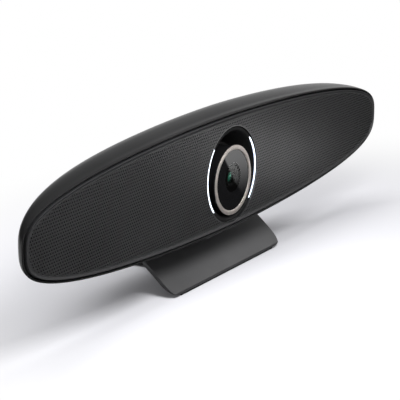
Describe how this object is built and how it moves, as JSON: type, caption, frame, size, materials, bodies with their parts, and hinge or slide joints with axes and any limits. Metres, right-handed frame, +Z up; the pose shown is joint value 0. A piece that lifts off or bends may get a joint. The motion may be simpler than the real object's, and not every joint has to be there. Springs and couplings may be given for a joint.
{
  "type": "conference camera",
  "caption": "Lens-shaped conference camera bar: perforated front, round lens in a lit recess, ports behind, and a tilting blade stand for a table.",
  "frame": {"origin": "on the table under the middle of the whole object's box", "axes": "+X along the bar, to the right as seen from in front; +Y from the front to the back; +Z up"},
  "size_m": [0.5, 0.0798, 0.1276],
  "materials": {
    "housing_shell": "fine satin texture, dark grey",
    "front_border": "satin, dark grey",
    "seam_rubber": "matt black",
    "grille_sheet": "powder coated dark grey, fine holes",
    "acoustic_cloth": "woven black",
    "bowl_plastic": "dark grey satin",
    "light_plastic": "frosted, glows blue white",
    "emitter": "yellow white",
    "circuit_board": "green solder mask",
    "chip_plastic": "black",
    "ring_metal": "polished ring",
    "window_glass": "dark tinted glass",
    "lens_glass": "coated glass",
    "black_metal": "black anodised",
    "sensor_glass": "dark blue gloss",
    "screw_steel": "zinc plated",
    "basket_steel": "black paint",
    "cone_plastic": "matt black",
    "magnet_iron": "plain",
    "brass": "machined",
    "sink_metal": "natural",
    "panel_plastic": "matt black",
    "socket_metal": "nickel plated",
    "button_plastic": "satin dark grey",
    "stand_metal": "dark grey satin coat",
    "foot_rubber": "matt black",
    "washer_plastic": "natural nylon"
  },
  "bodies": {
    "stand": {"hinge_pin": "screw_steel", "pin_nut": "screw_steel", "friction_washers": "washer_plastic", "stand_blade": "stand_metal", "rear_leg": "stand_metal", "leg_screws": "screw_steel", "front_foot": "foot_rubber", "rear_foot": "foot_rubber"},
    "head": {"rear_housing": "housing_shell", "seam_gasket": "seam_rubber", "front_frame": "front_border", "grille": "grille_sheet", "scrim": "acoustic_cloth", "camera_bowl": "bowl_plastic", "light_guide_left": "light_plastic", "light_guide_right": "light_plastic", "light_board": "circuit_board", "light_emitters": "emitter", "trim_ring": "ring_metal", "camera_window": "window_glass", "camera_can": "black_metal", "lens_barrel": "black_metal", "front_lens": "lens_glass", "inner_lenses": "lens_glass", "lens_mount": "panel_plastic", "image_sensor": "sensor_glass", "sensor_board": "circuit_board", "camera_screws": "screw_steel", "speaker_basket_left": "basket_steel", "speaker_basket_right": "basket_steel", "speaker_cone_left": "cone_plastic", "speaker_cone_right": "cone_plastic", "speaker_magnet_left": "magnet_iron", "speaker_magnet_right": "magnet_iron", "radiator_left": "cone_plastic", "radiator_right": "cone_plastic", "radiator_mass_left": "screw_steel", "radiator_mass_right": "screw_steel", "microphone_board": "circuit_board", "microphones": "brass", "main_board": "circuit_board", "main_chips": "chip_plastic", "heat_sink": "sink_metal", "port_board": "circuit_board", "port_spacers": "brass", "port_panel": "panel_plastic", "power_socket": "chip_plastic", "usb_socket": "socket_metal", "hdmi_socket": "socket_metal", "power_switch": "screw_steel", "reset_switch": "screw_steel", "wall_inserts": "brass", "case_screws": "screw_steel", "speaker_screws": "screw_steel", "board_screws": "screw_steel", "hinge_bracket": "stand_metal", "bracket_screws": "screw_steel"},
    "power_button": {"power_button": "button_plastic"},
    "reset_button": {"reset_button": "button_plastic"}
  },
  "joints": [
    {"name": "head_tilt", "type": "hinge", "parent": "stand", "child": "head", "pos_m": [0, -0.0021, 0.0265], "axis": [1, 0, 0], "range_deg": [-15, 10]},
    {"name": "power_press", "type": "slide", "parent": "head", "child": "power_button", "axis": [0, -1, 0], "range_m": [0, 0.0008], "stiffness_N_per_m": 1500, "springref_m": -0.0004},
    {"name": "reset_press", "type": "slide", "parent": "head", "child": "reset_button", "axis": [0, -1, 0], "range_m": [0, 0.0008], "stiffness_N_per_m": 1500, "springref_m": -0.0004}
  ]
}
